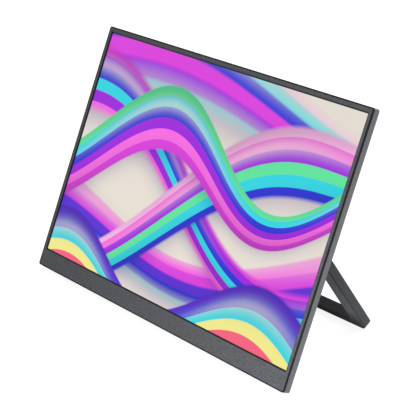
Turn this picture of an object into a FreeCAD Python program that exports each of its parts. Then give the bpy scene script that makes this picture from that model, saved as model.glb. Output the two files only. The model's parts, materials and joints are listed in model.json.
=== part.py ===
"""A slim portable monitor that leans back on a U-shaped folding stand.

The case is drawn upright: X to the viewer's right, Y from the front face to the back, Z up from
the bottom edge. One placement then leans it back, and another swings the stand open until its foot
reaches the desk. The stand is drawn about its hinge axis, with its arms hanging down.
"""

import FreeCAD, Part
import math
import os

import Sketcher

V = FreeCAD.Vector
doc = FreeCAD.newDocument("PortableMonitor")

# Driving sizes, in millimetres and degrees

SIZES = {
    # Screen and bezel
    "screen_width": "344.7",
    "screen_height": "215.4",
    "screen_border": "1.0",
    "bezel_side": "5.5",
    "bezel_top": "5.8",
    "bezel_chin": "17.6",
    "bezel_plate": "1.2",
    "bezel_edge": "1.1",
    "bezel_chamfer": "0.2",
    "window_chamfer": "0.4",
    "rib_width": "1.0",
    "rib_height": "2.0",
    "slip_gap": "0.15",
    # Case
    "case_depth": "7.5",
    "case_corner": "2.2",
    "case_edge": "0.3",
    "case_wall": "1.5",
    "case_back": "1.4",
    "gasket_front": "0.1",
    "gasket_height": "0.3",
    "gasket_inset": "0.05",
    "gasket_chamfer": "0.2",
    # Panel stack
    "glass_margin": "2.4",
    "glass_thick": "1.0",
    "film_thick": "0.4",
    "guide_thick": "0.8",
    "led_height": "3.5",
    "chassis_sheet": "0.4",
    "chassis_rim": "0.6",
    "panel_gap": "0.3",
    "driver_margin": "64.75",
    "driver_height": "9",
    "driver_thick": "1.0",
    "driver_rise": "2.0",
    "foam_width": "8",
    "foam_inset": "3",
    "foam_side_margin": "20.1",
    "foam_top_margin": "24.75",
    # Stand
    "lean_angle": "29",
    "pivot_height": "121.7",
    "stand_length": "116.5",
    "stand_inset": "29.85",
    "stand_depth": "8.9",
    "arm_width": "13.4",
    "crossbar_height": "9.5",
    "stand_corner": "4.5",
    "stand_edge": "0.6",
    "stand_side_gap": "0.8",
    "stand_back_gap": "0.3",
    "arm_groove_inset": "0.7",
    "arm_groove_width": "0.45",
    "arm_groove_depth": "0.4",
    "strip_margin": "17",
    "strip_width": "4.0",
    "strip_inset": "1.2",
    "strip_sunk": "0.8",
    "strip_proud": "0.6",
    "pad_length": "46",
    "pad_width": "4.0",
    "pad_inset": "0.6",
    "pad_sunk": "0.7",
    "pad_proud": "0.6",
    "pad_from_side": "52.85",
    # Rear housing
    "housing_wall": "1.6",
    "housing_back": "1.4",
    "housing_corner": "3.0",
    "housing_edge": "1.4",
    "housing_above_pivot": "6.5",
    "slot_bevel": "0.45",
    "grille_slots": "10",
    "grille_pitch": "4.0",
    "grille_slot_width": "1.5",
    "grille_slot_height": "13",
    "vent_slots": "13",
    "vent_margin": "2.85",
    "vent_slot_width": "1.6",
    "vent_slot_height": "7",
    "vent_from_top": "9",
    # Wall mount
    "vesa_pitch": "75",
    "vesa_centre_height": "72",
    "insert_bore": "4.1",
    "insert_outer": "5.6",
    "insert_length": "6.0",
    "insert_boss": "9.3",
    # Hinge
    "shaft_diameter": "3.4",
    "shaft_clearance": "0.05",
    "shaft_in_arm": "9.0",
    "shaft_collar": "4.8",
    "shaft_collar_thick": "0.5",
    "shaft_end": "0.4",
    "wall_hole_clearance": "0.3",
    "knuckle_outer": "5.6",
    "knuckle_length": "10",
    "knuckle_wall_gap": "0.3",
    "leaf_length": "32",
    "leaf_thick": "1.2",
    "washer_outer": "5.2",
    "washer_thick": "0.5",
    "nut_outer": "5.4",
    "nut_thick": "2.0",
    # Screws
    "screw_shank": "2.0",
    "screw_head": "3.6",
    "screw_head_thick": "0.8",
    "housing_boss": "5.0",
    "housing_screw_low_side": "7.8",
    "housing_screw_high_side": "29.8",
    "housing_screw_inset": "6.5",
    "leaf_screw_first": "10",
    "leaf_screw_pitch": "14",
    # Boards and sockets
    "board_width": "82",
    "board_height": "46",
    "board_rise": "3.4",
    "board_thick": "1.2",
    "board_edge_gap": "0.4",
    "board_screw_inset": "5",
    "board_screw_across": "20",
    "standoff_height": "2.0",
    "standoff_outer": "5.0",
    "chip_size": "16",
    "small_chip_size": "9.6",
    "chip_at": "41",
    "small_chip_at": "60.7",
    "chip_thick": "1.4",
    "socket_depth": "7.4",
    "socket_floor": "0.9",
    "tongue_inset": "1.2",
    "socket_wall": "0.35",
    "socket_clearance": "0.12",
    "usb_width": "8.9",
    "usb_height": "3.3",
    "usb_tongue": "0.7",
    "usb_low_at": "17",
    "usb_pitch": "12.5",
    "hdmi_width": "11.2",
    "hdmi_height": "3.5",
    "hdmi_step": "1.2",
    "hdmi_tongue": "0.8",
    "hdmi_at": "40",
    "jack_at": "6",
    "jack_width": "6.4",
    "jack_height": "4.2",
    "jack_bore": "3.6",
    "jack_length": "12",
    "jack_nose": "5.0",
    "ribbon_width": "24",
    "ribbon_thick": "0.3",
    "connector_thick": "1.2",
    "ribbon_run": "8",
    "ribbon_slot_gap": "1.5",
    "connector_height": "6",
    "connector_at": "22.2",
    # Speakers
    "speaker_length": "48",
    "speaker_height": "16",
    "speaker_depth": "5.4",
    "speaker_from_side": "39.8",
    "speaker_rise": "2.5",
    "speaker_cone_inset": "2.0",
    "speaker_cone_bevel": "3.5",
    "speaker_cone_depth": "0.8",
    # Buttons
    "button_length": "7.0",
    "button_height": "3.2",
    "button_proud": "0.7",
    "button_flange": "1.0",
    "button_flange_thick": "0.8",
    "button_travel": "0.5",
    "button_clearance": "0.2",
    "button_pitch": "11",
    "button_drop": "75.7",
    "switch_height": "2.4",
    "switch_size": "4.5",
    "button_board_thick": "1.0",
    "button_board_margin": "5",
}

sheet = doc.addObject("Spreadsheet::Sheet", "Sizes")
for row, (alias, number) in enumerate(SIZES.items(), start=1):
    sheet.set(f"A{row}", alias)
    sheet.set(f"B{row}", number)
    sheet.setAlias(f"B{row}", alias)
doc.recompute()


class Sized(dict):
    """Gives the sheet's name for a size, so that an expression reads like the formula it is."""

    def __missing__(self, alias):
        if alias not in SIZES:
            raise KeyError(alias)
        return f"Sizes.{alias}"


def ex(formula):
    """A formula in size names, such as "{case_depth} - {case_back}", as an expression on the sheet."""
    return formula.format_map(Sized(DERIVED))


def value(expression):
    """The number that an expression on the sheet has now."""
    result = sheet.evalExpression(expression)
    return float(getattr(result, "Value", result))


# Sizes that follow from the driving ones

DERIVED = {}
for derived_name, formula in (
    ("case_width", "{screen_width} + 2 * {bezel_side}"),
    ("case_height", "{screen_height} + {bezel_chin} + {bezel_top}"),
    ("screen_top", "({bezel_chin} + {screen_height})"),
    ("rim_front", "({bezel_plate} + {gasket_height})"),
    ("back_inside", "({case_depth} - {case_back})"),
    ("rib_inset", "({case_wall} + {slip_gap})"),
    # Panel layers, front to back
    ("glass_width", "({screen_width} + 2 * {glass_margin})"),
    ("glass_bottom", "({bezel_chin} - {glass_margin})"),
    ("glass_top", "({screen_top} + {glass_margin})"),
    ("glass_back", "({bezel_plate} + {glass_thick})"),
    ("film_back", "({glass_back} + {film_thick})"),
    ("guide_back", "({film_back} + {guide_thick})"),
    ("chassis_back", "({guide_back} + {chassis_sheet})"),
    ("layer_inset", "({chassis_rim} + {panel_gap})"),
    # Stand and housing share one outline
    ("stand_half", "({case_width} / 2 - {stand_inset})"),
    ("arm_inside", "({stand_half} - {arm_width})"),
    ("housing_half", "({arm_inside} - {stand_side_gap})"),
    ("housing_inside", "({housing_half} - {housing_wall})"),
    ("housing_bottom", "({pivot_height} - {stand_length} + {crossbar_height} + {stand_side_gap})"),
    ("housing_top", "({pivot_height} + {housing_above_pivot})"),
    ("stand_front", "({case_depth} + {stand_back_gap})"),
    ("pivot_depth", "({stand_front} + {stand_depth} / 2)"),
    ("housing_face", "({stand_front} + {stand_depth})"),
    ("housing_ceiling", "({housing_face} - {housing_back})"),
    ("well_floor", "({housing_face} - 2 * {screw_head_thick})"),
    ("strip_half", "({stand_half} - {strip_margin})"),
    ("strip_front", "({strip_inset} - {stand_depth} / 2)"),
    # Hinge stack along the shaft, from the wall inwards
    ("knuckle_end", "({housing_inside} - {knuckle_wall_gap})"),
    ("knuckle_start", "({knuckle_end} - {knuckle_length})"),
    ("washer_start", "({knuckle_start} - 3 * {washer_thick})"),
    ("nut_start", "({washer_start} - {nut_thick})"),
    # Speakers, and the main board above the left one
    ("speaker_middle", "({housing_half} - {speaker_from_side})"),
    ("speaker_bottom", "({housing_bottom} + {housing_wall} + {speaker_rise})"),
    ("board_bottom", "({speaker_bottom} + {speaker_height} + {board_rise})"),
    ("board_front", "({case_depth} + {standoff_height})"),
    ("board_back", "({board_front} + {board_thick})"),
    ("board_edge", "({housing_inside} - {board_edge_gap})"),
    ("board_top", "({board_bottom} + {board_height})"),
    ("ribbon_x", "({board_edge} - {board_width} / 2)"),
    ("ribbon_foot", "({glass_bottom} + {driver_rise} + {driver_height})"),
    ("ribbon_end", "({board_bottom} + {connector_at})"),
    ("ribbon_bend", "({ribbon_end} - {ribbon_run})"),
    # Buttons, below the hinge, from the wall inwards
    ("button_low", "({pivot_height} - {button_drop})"),
    ("flange_face", "({housing_inside} - {button_clearance})"),
    ("flange_back", "({flange_face} - {button_flange_thick})"),
    ("switch_face", "({flange_back} - {button_travel} - {button_clearance})"),
    ("button_board_face", "({switch_face} - {switch_height})"),
    # Row of vents
    ("vent_pitch", "(({vesa_pitch} - {insert_boss} - 2 * {vent_margin}) / ({vent_slots} - 1))"),
):
    DERIVED[derived_name] = "(" + ex(formula) + ")"


def num(formula):
    """The number that a formula in size names has now."""
    return value(ex(formula))


# Sketches, features and primitives tied to the sheet


def new_body(label):
    body = doc.addObject("PartDesign::Body", label)
    body.Label = label
    return body


def origin(body, role):
    return next(f for f in body.Origin.OriginFeatures if f.Role == role)


def sketch(body, name, role, offset):
    """A sketch on one of the body's planes. XZ and YZ and XY planes face -Y, +X and +Z."""
    drawn = body.newObject("Sketcher::SketchObject", name)
    drawn.AttachmentSupport = [(origin(body, role), "")]
    drawn.MapMode = "FlatFace"
    sign = "-" if role == "XZ_Plane" else ""
    drawn.setExpression("AttachmentOffset.Base.z", f"{sign}({ex(offset)})")
    return drawn


def tie(drawn, kind, geometry, formula):
    """Adds one dimension to a sketch and binds it to the sheet."""
    at = drawn.addConstraint(Sketcher.Constraint(kind, *geometry, num(formula)))
    drawn.setExpression(f"Constraints[{at}]", ex(formula))


def place_point(drawn, point, across, up):
    tie(drawn, "DistanceX", (-1, 1, *point), across)
    tie(drawn, "DistanceY", (-1, 1, *point), up)


def polygon(drawn, corners):
    """A closed outline whose every corner is bound to the sheet."""
    first = drawn.GeometryCount
    points = [V(num(x), num(y), 0) for x, y in corners]
    count = len(points)
    for k in range(count):
        drawn.addGeometry(Part.LineSegment(points[k], points[(k + 1) % count]))
    for k in range(count):
        following = first + (k + 1) % count
        drawn.addConstraint(Sketcher.Constraint("Coincident", first + k, 2, following, 1))
    for k, (x, y) in enumerate(corners):
        place_point(drawn, (first + k, 1), x, y)


def rectangle(drawn, left, right, bottom, top):
    polygon(drawn, [(left, bottom), (right, bottom), (right, top), (left, top)])


def inset_rectangle(drawn, inset):
    """The case's outline, drawn in by an amount on all four sides."""
    half = "{case_width} / 2 - (" + inset + ")"
    rectangle(drawn, "-(" + half + ")", half, inset, "{case_height} - (" + inset + ")")


def bevelled_rectangle(drawn, across, up, width, height, bevel):
    """A rectangle about a middle point, with its four corners cut off."""
    left, right = f"{across} - ({width}) / 2", f"{across} + ({width}) / 2"
    bottom, top = f"{up} - ({height}) / 2", f"{up} + ({height}) / 2"
    polygon(
        drawn,
        [
            (f"{left} + {bevel}", bottom),
            (f"{right} - {bevel}", bottom),
            (right, f"{bottom} + {bevel}"),
            (right, f"{top} - {bevel}"),
            (f"{right} - {bevel}", top),
            (f"{left} + {bevel}", top),
            (left, f"{top} - {bevel}"),
            (left, f"{bottom} + {bevel}"),
        ],
    )


def many_sided(drawn, across, up, diameter, sides):
    """A regular outline about a middle point; the diameter is across its corners."""
    turns = [360 * k / sides for k in range(sides)]
    radius = f"({diameter}) / 2"
    polygon(drawn, [(f"{across} + {radius} * cos({t})", f"{up} + {radius} * sin({t})") for t in turns])


def circle(drawn, across, up, diameter):
    at = drawn.addGeometry(Part.Circle(V(num(across), num(up), 0), V(0, 0, 1), num(diameter) / 2))
    place_point(drawn, (at, 3), across, up)
    tie(drawn, "Diameter", (at,), diameter)


def stadium(drawn, across, up, length, width):
    """An upright slot with round ends, centred on a point."""
    reach = "((" + length + ") - (" + width + ")) / 2"
    radius = num(width) / 2
    centre, run, side = V(num(across), num(up), 0), V(0, num(reach), 0), V(radius, 0, 0)
    high, low = centre + run, centre - run
    top, left, bottom, right = range(drawn.GeometryCount, drawn.GeometryCount + 4)
    drawn.addGeometry(Part.ArcOfCircle(Part.Circle(high, V(0, 0, 1), radius), 0, math.pi))
    drawn.addGeometry(Part.LineSegment(high - side, low - side))
    drawn.addGeometry(Part.ArcOfCircle(Part.Circle(low, V(0, 0, 1), radius), math.pi, 2 * math.pi))
    drawn.addGeometry(Part.LineSegment(low + side, high + side))
    for one, following in ((top, left), (left, bottom), (bottom, right), (right, top)):
        drawn.addConstraint(Sketcher.Constraint("Tangent", one, 2, following, 1))
    drawn.addConstraint(Sketcher.Constraint("Equal", top, bottom))
    tie(drawn, "Radius", (top,), "(" + width + ") / 2")
    place_point(drawn, (top, 3), across, f"{up} + {reach}")
    place_point(drawn, (bottom, 3), across, f"{up} - {reach}")


def feature(body, kind, name, drawn, length, backwards=False, middle=False):
    made = body.newObject(f"PartDesign::{kind}", name)
    made.Profile = drawn
    made.setExpression("Length", ex(length))
    made.Reversed = backwards
    made.Midplane = middle
    drawn.Visibility = False
    return made


def pad(body, name, drawn, length, backwards=False, middle=False):
    """Adds material along the sketch's facing, or against it."""
    return feature(body, "Pad", name, drawn, length, backwards, middle)


def pocket(body, name, drawn, length, backwards=False, middle=False):
    """Cuts material away against the sketch's facing, or along it."""
    return feature(body, "Pocket", name, drawn, length, backwards, middle)


def edge_names(made, wanted):
    """The names of a feature's edges for which a test on the edge is true."""
    doc.recompute()
    return [f"Edge{k}" for k, edge in enumerate(made.Shape.Edges, start=1) if wanted(edge)]


def runs_along(edge, axis):
    """True for a straight edge along X, Y or Z."""
    if not isinstance(edge.Curve, Part.Line):
        return False
    return abs(abs(getattr(edge.Curve.Direction, axis)) - 1) < 1e-6


def near(a, b):
    return abs(a - b) < SAME_PLACE


def between(low, a, high):
    return low - SAME_PLACE < a < high + SAME_PLACE


def corner_edges(half_width):
    """A test for edges along Y that stand at a distance either side of the middle."""
    return lambda edge: runs_along(edge, "y") and near(abs(edge.CenterOfMass.x), num(half_width))


def edges_at_depth(depth):
    """A test for edges that lie flat at one distance from the front."""
    at = num(depth)
    return lambda edge: near(edge.BoundBox.YMin, at) and near(edge.BoundBox.YMax, at)


def round_edges(body, name, made, wanted, radius):
    rounded = body.newObject("PartDesign::Fillet", name)
    rounded.Base = (made, edge_names(made, wanted))
    rounded.setExpression("Radius", ex(radius))
    return rounded


def bevel_edges(body, name, made, wanted, size):
    bevelled = body.newObject("PartDesign::Chamfer", name)
    bevelled.Base = (made, edge_names(made, wanted))
    bevelled.setExpression("Size", ex(size))
    return bevelled


def row_of(body, name, made, axis, pitch, count):
    """Repeats a feature along an axis of the body."""
    row = body.newObject("PartDesign::LinearPattern", name)
    row.Originals = [made]
    row.Direction = (origin(body, axis), [""])
    row.setExpression("Length", ex("(" + pitch + ") * (" + count + " - 1)"))
    row.setExpression("Occurrences", ex(count))
    body.Tip = row
    return row


def mirrored(body, name, made):
    """Repeats features on the other side of the middle plane."""
    twin = body.newObject("PartDesign::Mirrored", name)
    twin.Originals = made
    twin.MirrorPlane = (origin(body, "YZ_Plane"), [""])
    body.Tip = twin
    return twin


def block(name, low, high):
    """A plain box from one corner to the opposite one, each corner three formulas."""
    made = doc.addObject("Part::Box", name)
    for side, a, b in zip(("Length", "Width", "Height"), low, high):
        made.setExpression(side, ex(f"({b}) - ({a})"))
    for axis, a in zip("xyz", low):
        made.setExpression(f"Placement.Base.{axis}", ex(a))
    return made


def run_from(made, length, at, direction):
    """Starts a bar at a point, three formulas, and runs it along a direction."""
    made.setExpression("Height", ex(length))
    made.Placement = FreeCAD.Placement(V(0, 0, 0), FreeCAD.Rotation(V(0, 0, 1), direction))
    for axis, a in zip("xyz", at):
        made.setExpression(f"Placement.Base.{axis}", ex(a))
    return made


def rod(name, diameter, length, at, direction):
    """A round bar or hole."""
    made = doc.addObject("Part::Cylinder", name)
    made.setExpression("Radius", ex(f"({diameter}) / 2"))
    return run_from(made, length, at, direction)


def prism(name, sides, diameter, length, at, direction):
    """A bar with flat sides, for small pieces that repeat; the diameter is across its corners."""
    made = doc.addObject("Part::Prism", name)
    made.Polygon = sides
    made.setExpression("Circumradius", ex(f"({diameter}) / 2"))
    return run_from(made, length, at, direction)


def ring_on_shaft(name, sides, outer, thickness, at):
    """A washer or nut whose flat-sided bore clears the hinge shaft."""
    disc = prism(f"{name}_disc", sides, outer, thickness, at, RIGHT)
    bore = f"({{shaft_diameter}} + 2 * {{shaft_clearance}}) / cos(180 / {RING_SIDES})"
    hole = prism(f"{name}_hole", RING_SIDES, bore, thickness, at, RIGHT)
    return cut(name, disc, hole)


def group(label, members):
    """Several separate solids as one sub-part."""
    made = doc.addObject("Part::Compound", label)
    made.Links = members
    made.Label = label
    return made


def joined(name, members):
    made = doc.addObject("Part::MultiFuse", name)
    made.Shapes = members
    return made


def cut(name, base, tool):
    made = doc.addObject("Part::Cut", name)
    made.Base = base
    made.Tool = tool
    return made


BACK = V(0, 1, 0)
RIGHT = V(1, 0, 0)

SAME_PLACE = 1e-4
# Flat sides of the small pieces that repeat
SHANK_SIDES = 8
HEAD_SIDES = 16
STANDOFF_SIDES = 6
BOSS_SIDES = 8
INSERT_SIDES = 12
RING_SIDES = 16
NUT_SIDES = 6

display = []
stand = []


# Front bezel, gasket and rear cover


def make_front_bezel():
    """A flat frame with a deep chin, a chamfered rim and a locating rib behind it."""
    body = new_body("front_bezel")
    plate = sketch(body, "bezel_outline", "XZ_Plane", "0")
    inset_rectangle(plate, "{bezel_edge}")
    plate_pad = pad(body, "bezel_plate", plate, "{bezel_plate}", backwards=True)
    corners = corner_edges("{case_width} / 2 - {bezel_edge}")
    rounded = round_edges(body, "bezel_corners", plate_pad, corners, "{case_corner} - {bezel_edge}")
    bevel_edges(body, "bezel_rim", rounded, edges_at_depth("0"), "{bezel_chamfer}")

    window = sketch(body, "window_outline", "XZ_Plane", "0")
    side = "{screen_width} / 2 + {screen_border}"
    low, high = "{bezel_chin} - {screen_border}", "{screen_top} + {screen_border}"
    rectangle(window, f"-({side})", side, low, high)
    opening = pocket(body, "window", window, "{bezel_plate}")
    on_front = edges_at_depth("0")
    in_window = lambda edge: (
        on_front(edge)
        and between(-num(side), edge.CenterOfMass.x, num(side))
        and between(num(low), edge.CenterOfMass.z, num(high))
    )
    bevel_edges(body, "window_rim", opening, in_window, "{window_chamfer}")

    rib = sketch(body, "rib_outline", "XZ_Plane", "{bezel_plate}")
    inset_rectangle(rib, "{rib_inset}")
    inset_rectangle(rib, "{rib_inset} + {rib_width}")
    pad(body, "locating_rib", rib, "{rib_height}", backwards=True)
    return body


def make_seam_gasket():
    """The dark ring round the bezel: a chamfered collar with a foot that the bezel's edge sits on."""
    body = new_body("seam_gasket")
    outline = sketch(body, "gasket_outline", "XZ_Plane", "{gasket_front}")
    inset_rectangle(outline, "{gasket_inset}")
    solid = pad(body, "gasket_block", outline, "{rim_front} - {gasket_front}", backwards=True)
    corners = corner_edges("{case_width} / 2 - {gasket_inset}")
    rounded = round_edges(body, "gasket_corners", solid, corners, "{case_corner} - {gasket_inset}")
    bevel_edges(body, "gasket_rim", rounded, edges_at_depth("{gasket_front}"), "{gasket_chamfer}")

    # The seat's bevels touch the bezel's round corners at their middles.
    seat = sketch(body, "bezel_seat_outline", "XZ_Plane", "{gasket_front}")
    bevelled_rectangle(
        seat,
        "0",
        "{case_height} / 2",
        "{case_width} - 2 * {bezel_edge}",
        "{case_height} - 2 * {bezel_edge}",
        "({case_corner} - {bezel_edge}) * (2 - sqrt(2))",
    )
    pocket(body, "bezel_seat", seat, "{bezel_plate} - {gasket_front}")

    inside = sketch(body, "gasket_inside_outline", "XZ_Plane", "{bezel_plate}")
    inset_rectangle(inside, "{case_wall}")
    pocket(body, "gasket_inside", inside, "{gasket_height}")
    return body


def housing_screw_places():
    """Across and up, for the six screws that hold the rear housing, the lower three first."""
    low = "{housing_bottom} + {housing_screw_inset}"
    high = "{housing_top} - {housing_screw_inset}"
    for side, up in (("{housing_screw_low_side}", low), ("{housing_screw_high_side}", high)):
        across = "{housing_half} - " + side
        yield f"-({across})", up
        yield "0", up
        yield across, up


def board_screw_places():
    """Across and up, for the four screws at the main board's corners."""
    outer = "{board_edge} - {board_screw_across}"
    for across in (outer, "{board_edge} - {board_width} + {board_screw_across}"):
        for up in ("{board_bottom} + {board_screw_inset}", "{board_top} - {board_screw_inset}"):
            yield f"-({across})", up


def leaf_screw_places():
    """Across and up, for the two screws through each hinge leaf."""
    for side in ("", "-"):
        for step in ("0", "1"):
            up = "{pivot_height} - {leaf_screw_first} - {leaf_screw_pitch} * " + step
            yield side + "({knuckle_start} + {knuckle_length} / 2)", up


def make_rear_cover():
    """A shallow tray: thin side walls, a flat back, a cable slot, board standoffs and screw holes."""
    body = new_body("rear_cover")
    outline = sketch(body, "tray_outline", "XZ_Plane", "{rim_front}")
    inset_rectangle(outline, "0")
    solid = pad(body, "tray", outline, "{case_depth} - {rim_front}", backwards=True)
    rounded = round_edges(body, "tray_corners", solid, corner_edges("{case_width} / 2"), "{case_corner}")
    bevel_edges(body, "tray_back_edge", rounded, edges_at_depth("{case_depth}"), "{case_edge}")

    inside = sketch(body, "tray_inside", "XZ_Plane", "{rim_front}")
    inset_rectangle(inside, "{case_wall}")
    pocket(body, "tray_hollow", inside, "{back_inside} - {rim_front}")

    slot = sketch(body, "cable_slot_outline", "XZ_Plane", "{back_inside}")
    wide = "({ribbon_width} / 2 + {ribbon_slot_gap})"
    rectangle(
        slot,
        "-{ribbon_x} - " + wide,
        "-{ribbon_x} + " + wide,
        "{ribbon_bend} - {ribbon_slot_gap}",
        "{ribbon_bend} + {ribbon_thick} + {ribbon_slot_gap}",
    )
    pocket(body, "cable_slot", slot, "{case_back}")

    posts = sketch(body, "standoff_outlines", "XZ_Plane", "{case_depth}")
    for across, up in board_screw_places():
        many_sided(posts, across, up, "{standoff_outer}", STANDOFF_SIDES)
    pad(body, "standoffs", posts, "{standoff_height}", backwards=True)

    holes = sketch(body, "screw_hole_outlines", "XZ_Plane", "{back_inside}")
    for places in (board_screw_places, leaf_screw_places, housing_screw_places):
        for across, up in places():
            many_sided(holes, across, up, "{screw_shank}", SHANK_SIDES)
    pocket(body, "screw_holes", holes, "{case_back} + {standoff_height}")

    grooves = sketch(body, "pad_groove_outlines", "XY_Plane", "0")
    for side in (-1, 1):
        middle = pad_middle(side)
        rectangle(
            grooves,
            middle + " - {pad_length} / 2",
            middle + " + {pad_length} / 2",
            "{case_depth} - {pad_inset} - {pad_width}",
            "{case_depth} - {pad_inset}",
        )
    pocket(body, "pad_grooves", grooves, "{pad_sunk}", backwards=True)
    return body


def pad_middle(side):
    """How far across the middle of the pad on one side, -1 or 1, lies."""
    return f"{side} * ({{case_width}} / 2 - {{pad_from_side}})"


def make_base_pads():
    """Two soft pads under the bottom edge, near the back, where the case meets the desk."""
    pads = []
    for side, word in ((-1, "left"), (1, "right")):
        middle = pad_middle(side)
        pads.append(
            block(
                f"base_pad_{word}",
                (middle + " - {pad_length} / 2", "{case_depth} - {pad_inset} - {pad_width}", "-{pad_proud}"),
                (middle + " + {pad_length} / 2", "{case_depth} - {pad_inset}", "{pad_sunk}"),
            )
        )
    return group("base_pads", pads)


# Panel


def panel_layer(label, front, back, bottom="{glass_bottom} + {layer_inset}", inset="{layer_inset}"):
    """One flat sheet of the panel, inside the chassis rim."""
    half = f"{{glass_width}} / 2 - {inset}"
    made = block(label, (f"-({half})", front, bottom), (half, back, f"{{glass_top}} - {inset}"))
    made.Label = label
    return made


def make_panel_chassis():
    """A folded steel tray that holds the backlight behind the glass."""
    body = new_body("panel_chassis")
    half = "{glass_width} / 2"
    outline = sketch(body, "chassis_outline", "XZ_Plane", "{glass_back}")
    rectangle(outline, f"-({half})", half, "{glass_bottom}", "{glass_top}")
    pad(body, "chassis_tray", outline, "{chassis_back} - {glass_back}", backwards=True)
    inner = half + " - {chassis_rim}"
    hollow = sketch(body, "chassis_inside", "XZ_Plane", "{glass_back}")
    rectangle(hollow, f"-({inner})", inner, "{glass_bottom} + {chassis_rim}", "{glass_top} - {chassis_rim}")
    pocket(body, "chassis_hollow", hollow, "{guide_back} - {glass_back}")
    return body


def make_foam_strips():
    """Strips that press the panel against the bezel: one down each side and one along the top."""
    front, back = "{chassis_back}", "{back_inside}"
    outer = "{glass_width} / 2 - {foam_inset}"
    low, high = "{glass_bottom} + {foam_side_margin}", "{glass_top} - {foam_side_margin}"
    strips = []
    for word, left, right in (
        ("left", f"-({outer})", f"-({outer}) + {{foam_width}}"),
        ("right", outer + " - {foam_width}", outer),
    ):
        strips.append(block(f"foam_{word}", (left, front, low), (right, back, high)))
    half = "{glass_width} / 2 - {foam_top_margin}"
    top = "{glass_top} - {foam_inset}"
    strips.append(block("foam_top", (f"-({half})", front, top + " - {foam_width}"), (half, back, top)))
    return group("foam_strips", strips)


def make_panel():
    yield panel_layer("lcd_glass", "{bezel_plate}", "{glass_back}", bottom="{glass_bottom}", inset="0")
    yield panel_layer("optical_films", "{glass_back}", "{film_back}")
    led_top = "{glass_bottom} + {layer_inset} + {led_height}"
    yield panel_layer("light_guide", "{film_back}", "{guide_back}", bottom=led_top + " + {panel_gap}")
    half = "{glass_width} / 2 - {layer_inset}"
    strip = block(
        "led_strip",
        (f"-({half})", "{film_back}", "{glass_bottom} + {layer_inset}"),
        (half, "{guide_back}", led_top),
    )
    strip.Label = "led_strip"
    yield strip
    yield make_panel_chassis()
    driver_half = "{glass_width} / 2 - {driver_margin}"
    driver = block(
        "driver_strip",
        (f"-({driver_half})", "{chassis_back}", "{ribbon_foot} - {driver_height}"),
        (driver_half, "{chassis_back} + {driver_thick}", "{ribbon_foot}"),
    )
    driver.Label = "driver_strip"
    yield driver
    yield make_foam_strips()


def make_panel_cable():
    """A flat cable that climbs the chassis, steps back through the rear cover and reaches the board."""
    body = new_body("panel_cable")
    side = sketch(body, "cable_side", "YZ_Plane", "-{ribbon_x}")
    near_face = "{chassis_back}"
    far_face = "{board_front} - {ribbon_thick} * 2"
    polygon(
        side,
        [
            (near_face, "{ribbon_foot}"),
            (near_face + " + {ribbon_thick}", "{ribbon_foot}"),
            (near_face + " + {ribbon_thick}", "{ribbon_bend}"),
            (far_face + " + {ribbon_thick}", "{ribbon_bend}"),
            (far_face + " + {ribbon_thick}", "{ribbon_end}"),
            (far_face, "{ribbon_end}"),
            (far_face, "{ribbon_bend} + {ribbon_thick}"),
            (near_face, "{ribbon_bend} + {ribbon_thick}"),
        ],
    )
    pad(body, "cable", side, "{ribbon_width}", middle=True)
    return body


# Rear housing and what it holds


def socket_centre_depth(height):
    """How far back a socket that lies on the main board has its middle."""
    return "{board_back} + (" + height + ") / 2"


USB_RISES = ("{board_bottom} + {usb_low_at}", "{board_bottom} + {usb_low_at} + {usb_pitch}")
HDMI_RISE = "{board_bottom} + {hdmi_at}"
JACK_RISE = "{board_bottom} + {jack_at}"
BUTTONS = ("minus_button", "plus_button", "menu_button", "power_button")


def button_rise(index):
    return f"{{button_low}} + {index} * {{button_pitch}}"


BUTTON_DEPTH = "({case_depth} + {housing_ceiling}) / 2"


def hdmi_outline(drawn, grow):
    """The socket's outline: flat on the board, with the two far corners cut off."""
    front = "{board_back} - (" + grow + ")"
    back = "{board_back} + {hdmi_height} + (" + grow + ")"
    half = "{hdmi_width} / 2 + (" + grow + ")"
    polygon(
        drawn,
        [
            (front, f"{HDMI_RISE} - ({half})"),
            (back + " - {hdmi_step}", f"{HDMI_RISE} - ({half})"),
            (back, f"{HDMI_RISE} - ({half}) + {{hdmi_step}}"),
            (back, f"{HDMI_RISE} + {half} - {{hdmi_step}}"),
            (back + " - {hdmi_step}", f"{HDMI_RISE} + {half}"),
            (front, f"{HDMI_RISE} + {half}"),
        ],
    )


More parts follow.
